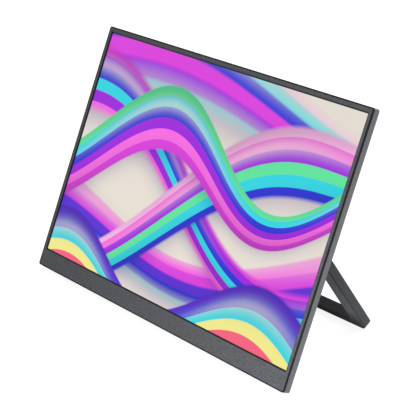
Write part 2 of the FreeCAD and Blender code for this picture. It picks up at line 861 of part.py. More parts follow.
def make_rear_housing():
    """The raised box on the back, a hollow shell that the folded stand wraps round."""
    body = new_body("rear_housing")
    half = "{housing_half}"
    outline = sketch(body, "housing_outline", "XZ_Plane", "{case_depth}")
    rectangle(outline, f"-{half}", half, "{housing_bottom}", "{housing_top}")
    solid = pad(body, "housing_block", outline, "{housing_face} - {case_depth}", backwards=True)
    rounded = round_edges(body, "housing_corners", solid, corner_edges(half), "{housing_corner}")
    bevel_edges(body, "housing_face_edge", rounded, edges_at_depth("{housing_face}"), "{housing_edge}")

    hollow = sketch(body, "housing_inside", "XZ_Plane", "{case_depth}")
    inside = "{housing_inside}"
    rectangle(
        hollow,
        f"-{inside}",
        inside,
        "{housing_bottom} + {housing_wall}",
        "{housing_top} - {housing_wall}",
    )
    pocket(body, "housing_hollow", hollow, "{housing_ceiling} - {case_depth}")

    bosses = sketch(body, "screw_boss_outlines", "XZ_Plane", "{case_depth}")
    reach = "{housing_boss} / 2"
    for across, up in housing_screw_places():
        low, high = f"{up} - {reach}", f"{up} + {reach}"
        if num(up) < num("{pivot_height} / 2"):
            low = "{housing_bottom} + {housing_wall} / 2"
        else:
            high = "{housing_top} - {housing_wall} / 2"
        rectangle(bosses, f"{across} - {reach}", f"{across} + {reach}", low, high)
    pad(body, "screw_bosses", bosses, "{housing_ceiling} - {case_depth}", backwards=True)

    mounts = sketch(body, "insert_boss_outlines", "XZ_Plane", "{housing_face} - {insert_length}")
    for across, up in vesa_places():
        many_sided(mounts, across, up, "{insert_boss}", BOSS_SIDES)
    pad(body, "insert_bosses", mounts, "{insert_length} - {housing_back}", backwards=True)

    seats = sketch(body, "insert_seat_outlines", "XZ_Plane", "{housing_face} - {insert_length}")
    for across, up in vesa_places():
        many_sided(seats, across, up, "{insert_outer}", INSERT_SIDES)
    pocket(body, "insert_seats", seats, "{insert_length}")

    shanks = sketch(body, "housing_shank_outlines", "XZ_Plane", "{case_depth}")
    wells = sketch(body, "housing_well_outlines", "XZ_Plane", "{well_floor}")
    for across, up in housing_screw_places():
        many_sided(shanks, across, up, "{screw_shank}", SHANK_SIDES)
        many_sided(wells, across, up, "{screw_head}", HEAD_SIDES)
    pocket(body, "housing_shank_holes", shanks, "{housing_face} - {case_depth}")
    pocket(body, "housing_screw_wells", wells, "{housing_face} - {well_floor}")

    cut_side_openings(body)
    cut_grilles(body)
    return body


def cut_side_openings(body):
    """Holes for the sockets, the buttons and the hinge shafts in the housing's side walls."""
    through = "{housing_wall} + {housing_corner}"
    gap = "2 * {socket_clearance}"
    sockets = sketch(body, "socket_openings", "YZ_Plane", "-{housing_half}")
    for rise in USB_RISES:
        stadium(
            sockets,
            socket_centre_depth("{usb_height}"),
            rise,
            "{usb_width} + " + gap,
            "{usb_height} + " + gap,
        )
    hdmi_outline(sockets, "{socket_clearance}")
    circle(sockets, socket_centre_depth("{jack_height}"), JACK_RISE, "{jack_nose} + " + gap)
    circle(sockets, "{pivot_depth}", "{pivot_height}", "{shaft_diameter} + 2 * {wall_hole_clearance}")
    pocket(body, "socket_holes", sockets, through, backwards=True)

    presses = sketch(body, "button_openings", "YZ_Plane", "{housing_half}")
    for index in range(len(BUTTONS)):
        stadium(
            presses,
            BUTTON_DEPTH,
            button_rise(index),
            "{button_length} + 2 * {button_clearance}",
            "{button_height} + 2 * {button_clearance}",
        )
    circle(presses, "{pivot_depth}", "{pivot_height}", "{shaft_diameter} + 2 * {wall_hole_clearance}")
    pocket(body, "button_holes", presses, through)


def slot_row(body, name, middle, up, width, height, pitch, count):
    """A row of upright slots through the housing's back, centred on a middle."""
    drawn = sketch(body, f"{name}_slot", "XZ_Plane", "{housing_ceiling}")
    first = f"{middle} - {pitch} * ({count} - 1) / 2"
    bevelled_rectangle(drawn, first, up, width, height, "{slot_bevel}")
    slot = pocket(body, f"{name}_first", drawn, "{housing_back}")
    row_of(body, f"{name}_row", slot, "X_Axis", pitch, count)


def cut_grilles(body):
    """A row of slots behind each speaker, and a row of vents between the upper wall-mount inserts."""
    speaker_up = "{speaker_bottom} + {speaker_height} / 2"
    grille = ("{grille_slot_width}", "{grille_slot_height}", "{grille_pitch}", "{grille_slots}")
    slot_row(body, "grille_left", "-{speaker_middle}", speaker_up, *grille)
    slot_row(body, "grille_right", "{speaker_middle}", speaker_up, *grille)
    vent_up = "{housing_top} - {vent_from_top} - {vent_slot_height} / 2"
    vents = ("{vent_slot_width}", "{vent_slot_height}", "{vent_pitch}", "{vent_slots}")
    slot_row(body, "vent", "0", vent_up, *vents)


def vesa_places():
    """Across and up, for the four threaded inserts of the wall mount."""
    for side in (-1, 1):
        for level in (-1, 1):
            yield f"{side} * {{vesa_pitch}} / 2", f"{{vesa_centre_height}} + {level} * {{vesa_pitch}} / 2"


def make_vesa_inserts():
    inserts = []
    for k, (across, up) in enumerate(vesa_places()):
        at = (across, "{housing_face} - {insert_length}", up)
        outer = prism(f"insert_outer_{k}", INSERT_SIDES, "{insert_outer}", "{insert_length}", at, BACK)
        bore = rod(f"insert_bore_{k}", "{insert_bore}", "{insert_length}", at, BACK)
        inserts.append(cut(f"insert_{k}", outer, bore))
    return group("vesa_inserts", inserts)


def make_main_board():
    """The board on its standoffs, with its main chips and the flat cable's connector."""
    body = new_body("main_board")
    outline = sketch(body, "board_outline", "XZ_Plane", "{board_front}")
    rectangle(
        outline, "-{board_edge}", "-{board_edge} + {board_width}", "{board_bottom}", "{board_top}"
    )
    for across, up in board_screw_places():
        many_sided(outline, across, up, "{screw_shank}", SHANK_SIDES)
    pad(body, "board", outline, "{board_thick}", backwards=True)
    chips = sketch(body, "chip_outlines", "XZ_Plane", "{board_back}")
    middle = "({board_bottom} + {board_top}) / 2"
    for across, size in (("{chip_at}", "{chip_size}"), ("{small_chip_at}", "{small_chip_size}")):
        centre = f"-{{board_edge}} + {across}"
        rectangle(
            chips,
            f"{centre} - {size} / 2",
            f"{centre} + {size} / 2",
            f"{middle} - {size} / 2",
            f"{middle} + {size} / 2",
        )
    pad(body, "chips", chips, "{chip_thick}", backwards=True)
    plug = sketch(body, "connector_outline", "XZ_Plane", "{board_front}")
    rectangle(
        plug,
        "-{ribbon_x} - {ribbon_width} / 2",
        "-{ribbon_x} + {ribbon_width} / 2",
        "{ribbon_end}",
        "{ribbon_end} + {connector_height}",
    )
    pad(body, "connector", plug, "{connector_thick}")
    return body


def make_usb_port(label, rise):
    """A metal sleeve with round ends, closed at the back, with a thin contact tongue inside."""
    body = new_body(label)
    depth = socket_centre_depth("{usb_height}")
    shell = sketch(body, f"{label}_outline", "YZ_Plane", "-{housing_half}")
    stadium(shell, depth, rise, "{usb_width}", "{usb_height}")
    pad(body, f"{label}_sleeve", shell, "{socket_depth}")
    mouth = sketch(body, f"{label}_mouth", "YZ_Plane", "-{housing_half}")
    wall = "2 * {socket_wall}"
    stadium(mouth, depth, rise, "{usb_width} - " + wall, "{usb_height} - " + wall)
    pocket(body, f"{label}_hollow", mouth, "{socket_depth} - {socket_floor}", backwards=True)
    tongue = sketch(body, f"{label}_tongue_outline", "YZ_Plane", "-{housing_half} + {tongue_inset}")
    half = "{usb_width} / 2 - {usb_height} / 2"
    rectangle(
        tongue,
        depth + " - {usb_tongue} / 2",
        depth + " + {usb_tongue} / 2",
        f"{rise} - ({half})",
        f"{rise} + {half}",
    )
    pad(body, f"{label}_tongue", tongue, "{socket_depth} - {tongue_inset} - {socket_wall}")
    return body


def make_hdmi_port():
    body = new_body("mini_hdmi_port")
    shell = sketch(body, "hdmi_shell_outline", "YZ_Plane", "-{housing_half}")
    hdmi_outline(shell, "0")
    pad(body, "hdmi_sleeve", shell, "{socket_depth}")
    mouth = sketch(body, "hdmi_mouth_outline", "YZ_Plane", "-{housing_half}")
    hdmi_outline(mouth, "-{socket_wall}")
    pocket(body, "hdmi_hollow", mouth, "{socket_depth} - {socket_floor}", backwards=True)
    tongue = sketch(body, "hdmi_tongue_outline", "YZ_Plane", "-{housing_half} + {tongue_inset}")
    depth = socket_centre_depth("{hdmi_height}")
    half = "({hdmi_width} / 2 - {hdmi_step} - {socket_wall})"
    rectangle(
        tongue,
        depth + " - {hdmi_tongue} / 2",
        depth + " + {hdmi_tongue} / 2",
        f"{HDMI_RISE} - {half}",
        f"{HDMI_RISE} + {half}",
    )
    pad(body, "hdmi_tongue", tongue, "{socket_depth} - {tongue_inset} - {socket_wall}")
    return body


def make_audio_jack():
    """A block on the board with a round nose in the wall and a blind bore for the plug."""
    body = new_body("audio_jack")
    depth = socket_centre_depth("{jack_height}")
    block_outline = sketch(body, "jack_block_outline", "YZ_Plane", "-{housing_inside} + {board_edge_gap}")
    rectangle(
        block_outline,
        "{board_back}",
        "{board_back} + {jack_height}",
        JACK_RISE + " - {jack_width} / 2",
        JACK_RISE + " + {jack_width} / 2",
    )
    pad(body, "jack_block", block_outline, "{jack_length}")
    nose = sketch(body, "jack_nose_outline", "YZ_Plane", "-{housing_half}")
    circle(nose, depth, JACK_RISE, "{jack_nose}")
    pad(body, "jack_nose", nose, "{housing_wall} + {board_edge_gap}")
    bore = sketch(body, "jack_bore_outline", "YZ_Plane", "-{housing_half}")
    circle(bore, depth, JACK_RISE, "{jack_bore}")
    pocket(body, "jack_bore", bore, "{jack_length}", backwards=True)
    return body


def make_speaker(label, side):
    """A flat speaker: a frame with a shallow oval cone behind the grille."""
    body = new_body(label)
    middle = f"{side} * {{speaker_middle}}"
    outline = sketch(body, f"{label}_outline", "XZ_Plane", "{case_depth}")
    rectangle(
        outline,
        middle + " - {speaker_length} / 2",
        middle + " + {speaker_length} / 2",
        "{speaker_bottom}",
        "{speaker_bottom} + {speaker_height}",
    )
    pad(body, f"{label}_frame", outline, "{speaker_depth}", backwards=True)
    cone = sketch(body, f"{label}_cone_outline", "XZ_Plane", "{case_depth} + {speaker_depth}")
    inset = "2 * {speaker_cone_inset}"
    bevelled_rectangle(
        cone,
        middle,
        "{speaker_bottom} + {speaker_height} / 2",
        "{speaker_length} - " + inset,
        "{speaker_height} - " + inset,
        "{speaker_cone_bevel}",
    )
    pocket(body, f"{label}_cone", cone, "{speaker_cone_depth}", backwards=True)
    return body


def make_button(label, index):
    """A round-ended cap that stands out of the wall, with a flange that keeps it in."""
    body = new_body(label)
    rise = button_rise(index)
    cap = sketch(body, f"{label}_cap_outline", "YZ_Plane", "{flange_face}")
    stadium(cap, BUTTON_DEPTH, rise, "{button_length}", "{button_height}")
    pad(body, f"{label}_cap", cap, "{housing_half} + {button_proud} - {flange_face}")
    flange = sketch(body, f"{label}_flange_outline", "YZ_Plane", "{flange_back}")
    across = "({button_height} / 2 + {button_flange})"
    along = "({button_length} / 2 + {button_flange})"
    rectangle(
        flange,
        f"{BUTTON_DEPTH} - {across}",
        f"{BUTTON_DEPTH} + {across}",
        f"{rise} - {along}",
        f"{rise} + {along}",
    )
    pad(body, f"{label}_flange", flange, "{button_flange_thick}")
    return body


def make_button_board():
    """A narrow board on edge behind the buttons, with one switch for each."""
    body = new_body("button_board")
    last = button_rise(len(BUTTONS) - 1)
    outline = sketch(body, "button_board_outline", "YZ_Plane", "{button_board_face} - {button_board_thick}")
    rectangle(
        outline,
        "{case_depth}",
        "{housing_ceiling} - {button_clearance}",
        "{button_low} - {button_board_margin}",
        last + " + {button_board_margin}",
    )
    pad(body, "button_board_plate", outline, "{button_board_thick}")
    switches = sketch(body, "switch_outlines", "YZ_Plane", "{button_board_face}")
    half = "{switch_size} / 2"
    for index in range(len(BUTTONS)):
        rectangle(
            switches,
            f"{BUTTON_DEPTH} - {half}",
            f"{BUTTON_DEPTH} + {half}",
            f"{button_rise(index)} - {half}",
            f"{button_rise(index)} + {half}",
        )
    pad(body, "switches", switches, "{switch_height}")
    return body


# Hinge and stand


def make_hinge_bracket(label, start):
    """A knuckle for the shaft on a block, with a flat leaf that is screwed to the rear cover."""
    body = new_body(label)
    across = "{pivot_depth}"
    up = "{pivot_height}"
    radius = "{knuckle_outer} / 2"
    leaf = sketch(body, f"{label}_side", "YZ_Plane", start)
    polygon(
        leaf,
        [
            ("{case_depth}", f"{up} + {radius}"),
            (across, f"{up} + {radius}"),
            (across, f"{up} - {radius}"),
            ("{case_depth} + {leaf_thick}", f"{up} - {radius}"),
            ("{case_depth} + {leaf_thick}", up + " - {leaf_length}"),
            ("{case_depth}", up + " - {leaf_length}"),
        ],
    )
    pad(body, f"{label}_leaf", leaf, "{knuckle_length}")
    ring = sketch(body, f"{label}_ring", "YZ_Plane", start)
    circle(ring, across, up, "{knuckle_outer}")
    pad(body, f"{label}_knuckle", ring, "{knuckle_length}")
    bore = sketch(body, f"{label}_bore_outline", "YZ_Plane", start)
    circle(bore, across, up, "{shaft_diameter} + 2 * {shaft_clearance}")
    pocket(body, f"{label}_bore", bore, "{knuckle_length}", backwards=True)
    holes = sketch(body, f"{label}_hole_outlines", "XZ_Plane", "{case_depth}")
    for step in ("0", "1"):
        many_sided(
            holes,
            f"({start}) + {{knuckle_length}} / 2",
            up + " - {leaf_screw_first} - {leaf_screw_pitch} * " + step,
            "{screw_shank}",
            SHANK_SIDES,
        )
    pocket(body, f"{label}_holes", holes, "{leaf_thick}")
    return body


def make_washers(label, start):
    """Three friction washers beside the knuckle."""
    rings = []
    for k in range(3):
        at = (f"({start}) + {k} * {{washer_thick}}", "{pivot_depth}", "{pivot_height}")
        rings.append(ring_on_shaft(f"{label}_{k}", RING_SIDES, "{washer_outer}", "{washer_thick}", at))
    return group(label, rings)


def screws(label, places, head_face, length):
    """Pan-head screws that point to the front, with the underside of each head on a face."""
    made = []
    for k, (across, up) in enumerate(places):
        at = (across, head_face, up)
        shank = prism(f"{label}_shank_{k}", SHANK_SIDES, "{screw_shank}", length, at, -BACK)
        head = prism(f"{label}_head_{k}", HEAD_SIDES, "{screw_head}", "{screw_head_thick}", at, BACK)
        made.append(joined(f"{label}_{k}", [shank, head]))
    return group(label, made)


def make_stand_frame():
    """A U of flat bar: two arms with round upper ends and a crossbar that stands on the desk."""
    body = new_body("stand_frame")
    outer, inner = "{stand_half}", "{arm_inside}"
    bar_top = "-{stand_length} + {crossbar_height}"
    outline = sketch(body, "stand_outline", "XZ_Plane", "0")
    polygon(
        outline,
        [
            (f"-{outer}", "0"),
            (f"-{outer}", "-{stand_length}"),
            (outer, "-{stand_length}"),
            (outer, "0"),
            (inner, "0"),
            (inner, bar_top),
            (f"-{inner}", bar_top),
            (f"-{inner}", "0"),
        ],
    )
    frame = pad(body, "stand_bars", outline, "{stand_depth}", middle=True)
    half, foot = num(outer), -num("{stand_length}")
    low_corner = (
        lambda edge: runs_along(edge, "y")
        and near(abs(edge.CenterOfMass.x), half)
        and near(edge.CenterOfMass.z, foot)
    )
    rounded = round_edges(body, "stand_corners", frame, low_corner, "{stand_corner}")

    on_front, on_rear = edges_at_depth("-{stand_depth} / 2"), edges_at_depth("{stand_depth} / 2")
    corner_top = foot + num("{stand_corner}")
    outer_edges = lambda edge: (on_front(edge) or on_rear(edge)) and (
        near(abs(edge.CenterOfMass.x), half) or between(foot, edge.BoundBox.ZMax, corner_top)
    )
    bevel_edges(body, "stand_outer_edges", rounded, outer_edges, "{stand_edge}")

    tops = sketch(body, "arm_end_outline", "YZ_Plane", inner)
    circle(tops, "0", "0", "{stand_depth}")
    round_top = pad(body, "arm_end", tops, "{arm_width}")
    mirrored(body, "arm_ends", [round_top])

    groove = sketch(body, "arm_groove_outline", "YZ_Plane", outer)
    groove_front = "-{stand_depth} / 2 + {arm_groove_inset}"
    rectangle(
        groove,
        groove_front,
        groove_front + " + {arm_groove_width}",
        "-{stand_length} + {stand_corner}",
        "0",
    )
    arm_groove = pocket(body, "arm_groove", groove, "{arm_groove_depth}")
    mirrored(body, "arm_grooves", [arm_groove])

    socket = sketch(body, "shaft_socket_outline", "YZ_Plane", inner)
    circle(socket, "0", "0", "{shaft_diameter} + 2 * {shaft_clearance}")
    hole = pocket(body, "shaft_socket", socket, "{shaft_in_arm}", backwards=True)
    mirrored(body, "shaft_sockets", [hole])

    strip_seat = sketch(body, "strip_seat_outline", "XY_Plane", "-{stand_length}")
    rectangle(strip_seat, "-{strip_half}", "{strip_half}", "{strip_front}", "{strip_front} + {strip_width}")
    pocket(body, "strip_seat", strip_seat, "{strip_sunk}", backwards=True)
    return body


def make_foot_strip():
    """The rubber strip let into the crossbar's lower face."""
    made = block(
        "foot_strip",
        ("-{strip_half}", "{strip_front}", "-{stand_length} - {strip_proud}"),
        ("{strip_half}", "{strip_front} + {strip_width}", "-{stand_length} + {strip_sunk}"),
    )
    made.Label = "foot_strip"
    return made


def make_hinge_shaft(label, side):
    """A turned pin: one end sits in the arm, a collar spaces the arm, and the rest runs in the knuckle."""
    body = new_body(label)
    sign = "" if side > 0 else "-"
    profile = sketch(body, f"{label}_profile", "XY_Plane", "0")
    radius, collar = "{shaft_diameter} / 2", "{shaft_collar} / 2"
    inner_end = "{nut_start} - {shaft_end}"
    outer_end = "{arm_inside} + {shaft_in_arm} - {shaft_clearance}"
    collar_face = "{arm_inside} - {shaft_collar_thick}"
    steps = [
        (inner_end, "0"),
        (inner_end, radius),
        (collar_face, radius),
        (collar_face, collar),
        ("{arm_inside}", collar),
        ("{arm_inside}", radius),
        (outer_end, radius),
        (outer_end, "0"),
    ]
    polygon(profile, [(f"{sign}({x})", y) for x, y in steps])
    turned = body.newObject("PartDesign::Revolution", f"{label}_turned")
    turned.Profile = profile
    turned.ReferenceAxis = (origin(body, "X_Axis"), [""])
    turned.Angle = 360
    profile.Visibility = False
    return body


def make_lock_nut(label, start):
    """A hexagon nut on the shaft's inner end."""
    made = ring_on_shaft(label, NUT_SIDES, "{nut_outer}", "{nut_thick}", (start, "0", "0"))
    made.Label = label
    return made


# Assembly: what leans with the case, what swings with the stand

display += [make_front_bezel(), make_seam_gasket(), make_rear_cover(), make_base_pads()]
display += make_panel()
display += [make_panel_cable(), make_rear_housing(), make_vesa_inserts(), make_main_board()]
display += [make_usb_port("usb_c_port_lower", USB_RISES[0])]
display += [make_usb_port("usb_c_port_upper", USB_RISES[1])]
display += [make_hdmi_port(), make_audio_jack()]
display += [make_speaker("speaker_left", -1), make_speaker("speaker_right", 1)]
display += [make_button(label, index) for index, label in enumerate(BUTTONS)]
display += [make_button_board()]
display += [make_hinge_bracket("hinge_bracket_right", "{knuckle_start}")]
display += [make_hinge_bracket("hinge_bracket_left", "-{knuckle_end}")]
display += [make_washers("friction_washers_right", "{washer_start}")]
display += [make_washers("friction_washers_left", "-{knuckle_start}")]
leaf_back, leaf_screw_length = "{case_depth} + {leaf_thick}", "{leaf_thick} + {case_back}"
display += [
    screws("housing_screws", housing_screw_places(), "{well_floor}", "{well_floor} - {back_inside}"),
    screws("board_screws", board_screw_places(), "{board_back}", "{board_back} - {back_inside}"),
    screws("hinge_screws", leaf_screw_places(), leaf_back, leaf_screw_length),
]
stand += [make_stand_frame(), make_foot_strip()]
stand += [make_hinge_shaft("hinge_shaft_right", 1), make_hinge_shaft("hinge_shaft_left", -1)]
stand += [make_lock_nut("lock_nut_right", "{nut_start}"), make_lock_nut("lock_nut_left", "-{washer_start}")]
doc.recompute()

lean = math.radians(num("{lean_angle}"))


def leaned(depth, height):
    """Where a point of the upright case lies once it leans, as distance back and height."""
    return (
        height * math.sin(lean) + depth * math.cos(lean),
        height * math.cos(lean) - depth * math.sin(lean),
    )


# The pads' lowest edge comes to the desk, and the stand opens until its strip's edge does too.
pad_back, pad_low = leaned(num("{case_depth} - {pad_inset}"), -num("{pad_proud}"))
pivot_back, pivot_up = leaned(num("{pivot_depth}"), num("{pivot_height}"))
pivot_up -= pad_low
foot_reach = num("{stand_length} + {strip_proud}")
foot_side = num("{stand_depth} / 2 - {strip_inset}")
stand_angle = math.atan2(foot_side, foot_reach) + math.acos(pivot_up / math.hypot(foot_reach, foot_side))

# The origin lies on the desk under the middle of the object's depth.
foot_back = (
    pivot_back
    + num("{stand_length}") * math.sin(stand_angle)
    + num("{stand_depth}") / 2 * math.cos(stand_angle)
)
case_top_back = leaned(num("{case_depth}"), num("{case_height}"))[0]
middle_depth = max(foot_back, case_top_back) / 2

CASE = FreeCAD.Placement(
    V(0, -middle_depth, -pad_low), FreeCAD.Rotation(V(1, 0, 0), -math.degrees(lean))
)
STAND = FreeCAD.Placement(
    V(0, pivot_back - middle_depth, pivot_up), FreeCAD.Rotation(V(1, 0, 0), math.degrees(stand_angle))
)


def carry(part, placement):
    """Moves a sub-part from where it was drawn to where it stands."""
    for path, _ in part.ExpressionEngine:
        if path.lstrip(".").startswith("Placement"):
            part.setExpression(path, None)
    part.Placement = placement.multiply(part.Placement)


for sub_parts, placement in ((display, CASE), (stand, STAND)):
    for sub_part in sub_parts:
        carry(sub_part, placement)
doc.recompute()


# Checks, then one STEP file for each sub-part


def check(part):
    shape = part.Shape
    if shape.isNull() or not shape.isValid() or not shape.Solids:
        raise RuntimeError(f"{part.Label} has no valid solid")


for item in doc.Objects:
    if {"Invalid", "Error"} & set(item.State):
        raise RuntimeError(f"{item.Label} failed: {item.State}")
    if item.TypeId in ("PartDesign::Pocket", "PartDesign::Pad") and item.BaseFeature:
        change = item.Shape.Volume - item.BaseFeature.Shape.Volume
        if (change > 0) != (item.TypeId == "PartDesign::Pad") or abs(change) < 1e-6:
            raise RuntimeError(f"{item.Label} changed the volume by {change:.3f}")

os.makedirs("parts", exist_ok=True)
for sub_part in display + stand:
    check(sub_part)
    sub_part.Shape.exportStep(f"parts/{sub_part.Label}.step")

print(f"sub-parts: {len(display + stand)}")
print(f"lean {math.degrees(lean):.2f}, stand from upright {math.degrees(stand_angle):.2f} degrees")
print(f"hinge axis at y {pivot_back - middle_depth:.3f}, z {pivot_up:.3f}")
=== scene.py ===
"""Looks of a portable monitor on its folding stand: materials, picture, small signs, light and camera."""

import json
import math
from collections import namedtuple

import bpy
from mathutils import Matrix, Vector
from mathutils.geometry import tessellate_polygon


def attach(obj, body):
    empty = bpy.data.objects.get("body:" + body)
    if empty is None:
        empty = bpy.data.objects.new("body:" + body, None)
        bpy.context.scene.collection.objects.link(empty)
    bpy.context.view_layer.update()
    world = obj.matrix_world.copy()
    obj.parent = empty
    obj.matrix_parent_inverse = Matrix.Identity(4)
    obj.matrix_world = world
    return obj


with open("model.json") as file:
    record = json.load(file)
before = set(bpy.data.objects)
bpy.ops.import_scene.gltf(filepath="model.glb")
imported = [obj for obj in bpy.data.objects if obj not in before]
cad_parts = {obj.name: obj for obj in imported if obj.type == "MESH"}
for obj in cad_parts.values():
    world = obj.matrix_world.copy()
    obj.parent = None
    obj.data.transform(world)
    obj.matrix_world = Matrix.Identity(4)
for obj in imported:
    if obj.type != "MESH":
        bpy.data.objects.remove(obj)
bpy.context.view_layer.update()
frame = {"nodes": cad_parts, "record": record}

MM = 0.001

# Directions of the leaning case, from the axis of the wall mount in its back
MOUNTS = {mount["name"]: mount for mount in frame["record"]["mounts"]}
ACROSS = Vector((1, 0, 0))
BACKWARD = Vector(MOUNTS["wall_mount"]["axis"])
UPWARD = ACROSS.cross(BACKWARD)


# Places, read from the frame

# How near to the window's side, in millimetres, a vertex counts as one of its edge
WINDOW_EDGE = 0.01


def case_point(x, depth, height):
    """A point in the leaning case's own directions, in millimetres from the frame's origin."""
    return (ACROSS * x + BACKWARD * depth + UPWARD * height) * MM


def reach(node, direction):
    """How far a piece of the frame goes along a direction, lowest and highest, in millimetres."""
    along = [vertex.co.dot(direction) / MM for vertex in frame["nodes"][node].data.vertices]
    return min(along), max(along)


def middle(node, direction):
    return sum(reach(node, direction)) / 2


def spots(node, apart):
    """Where the separate pieces of a node lie on the case's back, as (x, height) of their middles."""
    groups = []
    for vertex in frame["nodes"][node].data.vertices:
        spot = (vertex.co.x / MM, vertex.co.dot(UPWARD) / MM)
        near = [group for group in groups if math.dist(spot, group[0]) < apart]
        if near:
            near[0].append(spot)
        else:
            groups.append([spot])
    return [tuple((min(axis) + max(axis)) / 2 for axis in zip(*group)) for group in groups]


def bezel_window():
    """Half the width of the bezel's window, and the heights of its lower and upper edge."""
    vertices = frame["nodes"]["front_bezel"].data.vertices
    half = min(abs(vertex.co.x) for vertex in vertices) / MM
    edge = half + WINDOW_EDGE
    heights = [vertex.co.dot(UPWARD) / MM for vertex in vertices if abs(vertex.co.x) / MM < edge]
    return half, min(heights), max(heights)


# Materials


def linear(hex_colour):
    """A screen colour such as 5a5c5f as the linear values that a shader takes."""
    channels = [int(hex_colour[k:k + 2], 16) / 255 for k in (0, 2, 4)]
    return [c / 12.92 if c <= 0.04045 else ((c + 0.055) / 1.055) ** 2.4 for c in channels] + [1.0]


def scaled(colour, factor):
    return [c * factor for c in colour[:3]] + [1.0]


class Nodes:
    """A small helper that adds and links the nodes of one material."""

    def __init__(self, name):
        self.material = bpy.data.materials.new(name)
        self.material.use_nodes = True
        self.tree = self.material.node_tree
        self.tree.nodes.clear()
        self.output = self.add("ShaderNodeOutputMaterial")

    def add(self, kind, **settings):
        node = self.tree.nodes.new(kind)
        for key, setting in settings.items():
            setattr(node, key, setting)
        return node

    def feed(self, socket, source):
        """Links a socket to another, or sets its value."""
        if isinstance(source, bpy.types.NodeSocket):
            self.tree.links.new(source, socket)
        else:
            socket.default_value = source

    def math(self, operation, *inputs, clamp=False):
        node = self.add("ShaderNodeMath", operation=operation, use_clamp=clamp)
        for socket, source in zip(node.inputs, inputs):
            self.feed(socket, source)
        return node.outputs[0]

    def mix(self, factor, first, second, blend="MIX"):
        node = self.add("ShaderNodeMix", data_type="RGBA", blend_type=blend)
        self.feed(node.inputs["Factor"], factor)
        self.feed(node.inputs[6], first)
        self.feed(node.inputs[7], second)
        return node.outputs[2]

    def grey(self, value):
        """The same value in all three channels of a colour."""
        node = self.add("ShaderNodeCombineColor")
        for socket in node.inputs:
            self.feed(socket, value)
        return node.outputs[0]

    def ramp(self, position, stops):
        node = self.add("ShaderNodeValToRGB")
        elements = node.color_ramp.elements
        while len(elements) < len(stops):
            elements.new(0.5)
        for element, (place, colour) in zip(elements, stops):
            element.position = place
            element.color = colour
        self.feed(node.inputs[0], position)
        return node.outputs[0]

    def along(self, direction):
        """How far the shaded point lies along a direction of the frame, in metres."""
        node = self.add("ShaderNodeVectorMath", operation="DOT_PRODUCT")
        self.feed(node.inputs[0], self.add("ShaderNodeTexCoord").outputs["Object"])
        node.inputs[1].default_value = direction
        return node.outputs["Value"]

    def noise(self, size, detail, stretch=(1, 1, 1)):
        """Noise whose spots are about the given size, in metres."""
        mapping = self.add("ShaderNodeMapping")
        mapping.inputs["Scale"].default_value = stretch
        self.feed(mapping.inputs["Vector"], self.add("ShaderNodeTexCoord").outputs["Object"])
        node = self.add("ShaderNodeTexNoise")
        self.feed(node.inputs["Vector"], mapping.outputs[0])
        node.inputs["Scale"].default_value = 1 / size
        node.inputs["Detail"].default_value = detail
        return node.outputs["Fac"]

    def bump(self, height, distance):
        node = self.add("ShaderNodeBump")
        self.feed(node.inputs["Height"], height)
        node.inputs["Distance"].default_value = distance
        return node.outputs[0]

    def surface(self, **sockets):
        shader = self.add("ShaderNodeBsdfPrincipled")
        for name, source in sockets.items():
            self.feed(shader.inputs[name.replace("_", " ")], source)
        self.feed(self.output.inputs["Surface"], shader.outputs[0])
        return self.material


# The share of the finer of two noises in a grain and how much finer it is, the values of the noise
# between which the colour changes, and how far the roughness follows the noise
FINE_SHARE = 0.35
FINE_DIVISION = 4
GRAIN_RANGE = (0.35, 0.65)
ROUGH_SPREAD = 0.2


def grain(nodes, colour, size_mm, contrast):
    """Speckled colour and the fine relief that goes with it."""
    base = linear(colour)
    low, high = GRAIN_RANGE
    speckle = nodes.noise(size_mm * MM, 1.0)
    fine = nodes.noise(size_mm * MM / FINE_DIVISION, 2.0)
    coarse_part = nodes.math("MULTIPLY", speckle, 1 - FINE_SHARE)
    both = nodes.math("MULTIPLY_ADD", fine, FINE_SHARE, coarse_part)
    tone = nodes.ramp(both, [(low, scaled(base, 1 - contrast)), (high, scaled(base, 1 + contrast))])
    return tone, both


def roughened(nodes, relief, roughness):
    """A roughness that follows the relief, a little above and below its mean."""
    return nodes.math("MULTIPLY_ADD", relief, ROUGH_SPREAD, roughness - ROUGH_SPREAD / 2)


def grained(name, colour, roughness, size_mm, depth_mm, contrast=0.1, gloss=0.25):
    """A moulded or painted surface: grain in its colour, roughness and relief."""
    nodes = Nodes(name)
    tone, relief = grain(nodes, colour, size_mm, contrast)
    rough = roughened(nodes, relief, roughness)
    normal = nodes.bump(relief, depth_mm * MM)
    return nodes.surface(Base_Color=tone, Roughness=rough, Normal=normal, Specular_IOR_Level=gloss)


# The grain of the bezel's face, how far behind it the painted shade on the chamfers and the window's inner
# walls starts, and over what depth it darkens
BEZEL_GRAIN = 1.9
BEZEL_CONTRAST = 0.19
BEZEL_ROUGHNESS = 0.6
BEZEL_GLOSS = 0.1
BEZEL_RELIEF = 0.03
EDGE_SHADE_FROM = 0.03
EDGE_SHADE_SOFT = 0.1


def bezel_with_painted_edge_shade(name, colour, edge_shade_colour):
    """Grained plastic on the bezel's face, with painted shade darkening its chamfers and the window's inner
    walls.
    """
    nodes = Nodes(name)
    face, relief = grain(nodes, colour, BEZEL_GRAIN, BEZEL_CONTRAST)
    # Painted shade: the colour darkens with depth behind the bezel's face, on its chamfers and the window's
    # inner walls
    start = (reach("front_bezel", BACKWARD)[0] + EDGE_SHADE_FROM) * MM
    behind = nodes.math("SUBTRACT", nodes.along(BACKWARD), start)
    edge = nodes.math("DIVIDE", behind, EDGE_SHADE_SOFT * MM, clamp=True)
    tone = nodes.mix(edge, face, linear(edge_shade_colour))
    rough = roughened(nodes, relief, BEZEL_ROUGHNESS)
    normal = nodes.bump(relief, BEZEL_RELIEF * MM)
    return nodes.surface(Base_Color=tone, Roughness=rough, Normal=normal, Specular_IOR_Level=BEZEL_GLOSS)
